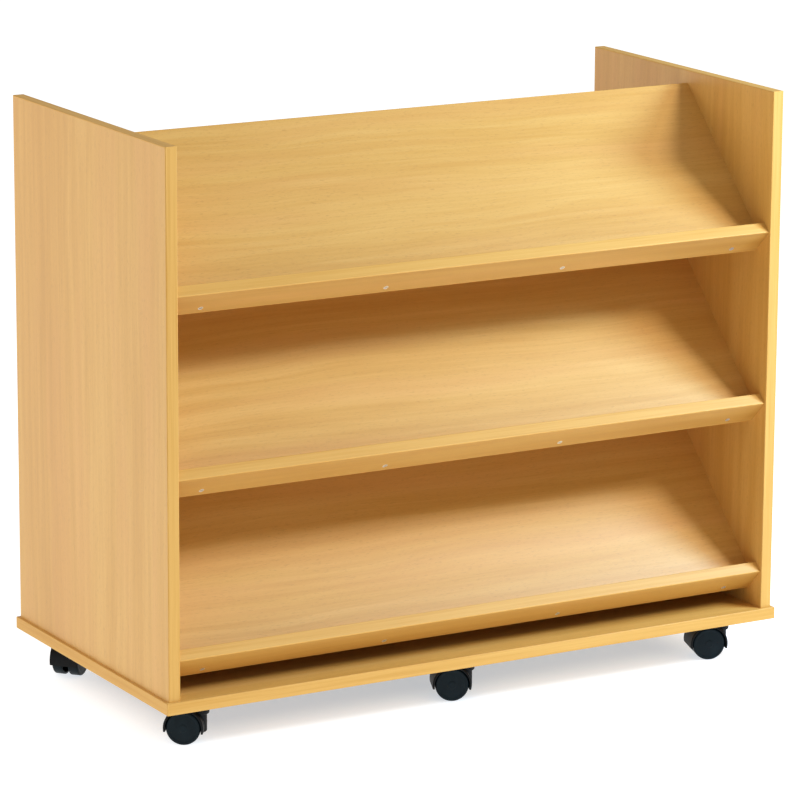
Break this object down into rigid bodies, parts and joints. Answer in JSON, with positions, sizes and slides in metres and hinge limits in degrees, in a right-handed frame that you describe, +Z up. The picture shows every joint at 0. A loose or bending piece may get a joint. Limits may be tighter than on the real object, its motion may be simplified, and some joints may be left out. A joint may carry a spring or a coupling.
{
  "type": "double-sided book cart",
  "caption": "Mobile double-sided library book cart with full side panels, shelves sloping down to raised lips on both sides, and twin-wheel castors under an overhanging base.",
  "frame": {"origin": "on the floor under the middle of the base board, which is the middle of the footprint", "axes": "+X along the cart's length to the right as seen from the front, +Y to the rear, +Z up; the front tiers face -Y"},
  "size_m": [1.035, 0.507, 0.875],
  "materials": {
    "panel_board": "beech-effect melamine face, satin, grain upright",
    "shelf_board": "beech-effect melamine face, satin, grain along the cart",
    "edging": "beech-effect edging strip, satin, rounded arrises",
    "dowel_beech": "plain beech",
    "zinc_screw": "bright zinc plate",
    "castor_plate": "black coated pressed steel",
    "castor_hood": "black moulded nylon",
    "castor_wheel": "black moulded nylon, slightly glossy",
    "castor_steel": "drawn steel"
  },
  "bodies": {
    "carcass": {"base_board": "shelf_board", "base_edging": "edging", "base_screws": "zinc_screw", "castor_pintles": "castor_steel", "castor_plate_front_left": "castor_plate", "castor_plate_front_middle": "castor_plate", "castor_plate_front_right": "castor_plate", "castor_plate_rear_left": "castor_plate", "castor_plate_rear_middle": "castor_plate", "castor_plate_rear_right": "castor_plate", "castor_screws": "zinc_screw", "centre_panel": "shelf_board", "centre_panel_edging": "edging", "dowels": "dowel_beech", "lip_edging_front": "edging", "lip_edging_rear": "edging", "lip_front_bottom": "shelf_board", "lip_front_middle": "shelf_board", "lip_front_top": "shelf_board", "lip_rear_bottom": "shelf_board", "lip_rear_middle": "shelf_board", "lip_rear_top": "shelf_board", "lip_screws_front": "zinc_screw", "lip_screws_rear": "zinc_screw", "shelf_edging": "edging", "shelf_front_bottom": "shelf_board", "shelf_front_middle": "shelf_board", "shelf_front_top": "shelf_board", "shelf_rear_bottom": "shelf_board", "shelf_rear_middle": "shelf_board", "shelf_rear_top": "shelf_board", "side_panel_edging_left": "edging", "side_panel_edging_right": "edging", "side_panel_left": "panel_board", "side_panel_right": "panel_board"},
    "castor_front_left": {"castor_housing_front_left": "castor_hood", "castor_axle_front_left": "castor_steel"},
    "wheel_front_left_a": {"castor_wheel_front_left_a": "castor_wheel"},
    "wheel_front_left_b": {"castor_wheel_front_left_b": "castor_wheel"},
    "castor_front_middle": {"castor_housing_front_middle": "castor_hood", "castor_axle_front_middle": "castor_steel"},
    "wheel_front_middle_a": {"castor_wheel_front_middle_a": "castor_wheel"},
    "wheel_front_middle_b": {"castor_wheel_front_middle_b": "castor_wheel"},
    "castor_front_right": {"castor_housing_front_right": "castor_hood", "castor_axle_front_right": "castor_steel"},
    "wheel_front_right_a": {"castor_wheel_front_right_a": "castor_wheel"},
    "wheel_front_right_b": {"castor_wheel_front_right_b": "castor_wheel"},
    "castor_rear_left": {"castor_housing_rear_left": "castor_hood", "castor_axle_rear_left": "castor_steel"},
    "wheel_rear_left_a": {"castor_wheel_rear_left_a": "castor_wheel"},
    "wheel_rear_left_b": {"castor_wheel_rear_left_b": "castor_wheel"},
    "castor_rear_middle": {"castor_housing_rear_middle": "castor_hood", "castor_axle_rear_middle": "castor_steel"},
    "wheel_rear_middle_a": {"castor_wheel_rear_middle_a": "castor_wheel"},
    "wheel_rear_middle_b": {"castor_wheel_rear_middle_b": "castor_wheel"},
    "castor_rear_right": {"castor_housing_rear_right": "castor_hood", "castor_axle_rear_right": "castor_steel"},
    "wheel_rear_right_a": {"castor_wheel_rear_right_a": "castor_wheel"},
    "wheel_rear_right_b": {"castor_wheel_rear_right_b": "castor_wheel"}
  },
  "joints": [
    {"name": "swivel_front_left", "type": "hinge", "parent": "carcass", "child": "castor_front_left", "pos_m": [-0.442, -0.205, 0.045], "axis": [0, 0, 1], "continuous": true},
    {"name": "spin_front_left_a", "type": "hinge", "parent": "castor_front_left", "child": "wheel_front_left_a", "pos_m": [-0.45945, -0.19278, 0.025], "axis": [0.5736, 0.8192, 0], "continuous": true},
    {"name": "spin_front_left_b", "type": "hinge", "parent": "castor_front_left", "child": "wheel_front_left_b", "pos_m": [-0.45945, -0.19278, 0.025], "axis": [0.5736, 0.8192, 0], "continuous": true},
    {"name": "swivel_front_middle", "type": "hinge", "parent": "carcass", "child": "castor_front_middle", "pos_m": [0, -0.202, 0.045], "axis": [0, 0, 1], "continuous": true},
    {"name": "spin_front_middle_a", "type": "hinge", "parent": "castor_front_middle", "child": "wheel_front_middle_a", "pos_m": [-0.01946, -0.19334, 0.025], "axis": [0.4067, 0.9135, 0], "continuous": true},
    {"name": "spin_front_middle_b", "type": "hinge", "parent": "castor_front_middle", "child": "wheel_front_middle_b", "pos_m": [-0.01946, -0.19334, 0.025], "axis": [0.4067, 0.9135, 0], "continuous": true},
    {"name": "swivel_front_right", "type": "hinge", "parent": "carcass", "child": "castor_front_right", "pos_m": [0.45, -0.204, 0.045], "axis": [0, 0, 1], "continuous": true},
    {"name": "spin_front_right_a", "type": "hinge", "parent": "castor_front_right", "child": "wheel_front_right_a", "pos_m": [0.4298, -0.19724, 0.025], "axis": [0.3173, 0.9483, 0], "continuous": true},
    {"name": "spin_front_right_b", "type": "hinge", "parent": "castor_front_right", "child": "wheel_front_right_b", "pos_m": [0.4298, -0.19724, 0.025], "axis": [0.3173, 0.9483, 0], "continuous": true},
    {"name": "swivel_rear_left", "type": "hinge", "parent": "carcass", "child": "castor_rear_left", "pos_m": [-0.445, 0.199, 0.045], "axis": [0, 0, 1], "continuous": true},
    {"name": "spin_rear_left_a", "type": "hinge", "parent": "castor_rear_left", "child": "wheel_rear_left_a", "pos_m": [-0.4607, 0.18461, 0.025], "axis": [-0.6756, 0.7373, 0], "continuous": true},
    {"name": "spin_rear_left_b", "type": "hinge", "parent": "castor_rear_left", "child": "wheel_rear_left_b", "pos_m": [-0.4607, 0.18461, 0.025], "axis": [-0.6756, 0.7373, 0], "continuous": true},
    {"name": "swivel_rear_middle", "type": "hinge", "parent": "carcass", "child": "castor_rear_middle", "pos_m": [0.001, 0.201, 0.045], "axis": [0, 0, 1], "continuous": true},
    {"name": "spin_rear_middle_a", "type": "hinge", "parent": "castor_rear_middle", "child": "wheel_rear_middle_a", "pos_m": [-0.01726, 0.19003, 0.025], "axis": [-0.515, 0.8572, 0], "continuous": true},
    {"name": "spin_rear_middle_b", "type": "hinge", "parent": "castor_rear_middle", "child": "wheel_rear_middle_b", "pos_m": [-0.01726, 0.19003, 0.025], "axis": [-0.515, 0.8572, 0], "continuous": true},
    {"name": "swivel_rear_right", "type": "hinge", "parent": "carcass", "child": "castor_rear_right", "pos_m": [0.446, 0.202, 0.045], "axis": [0, 0, 1], "continuous": true},
    {"name": "spin_rear_right_a", "type": "hinge", "parent": "castor_rear_right", "child": "wheel_rear_right_a", "pos_m": [0.42574, 0.19542, 0.025], "axis": [-0.309, 0.9511, 0], "continuous": true},
    {"name": "spin_rear_right_b", "type": "hinge", "parent": "castor_rear_right", "child": "wheel_rear_right_b", "pos_m": [0.42574, 0.19542, 0.025], "axis": [-0.309, 0.9511, 0], "continuous": true}
  ]
}
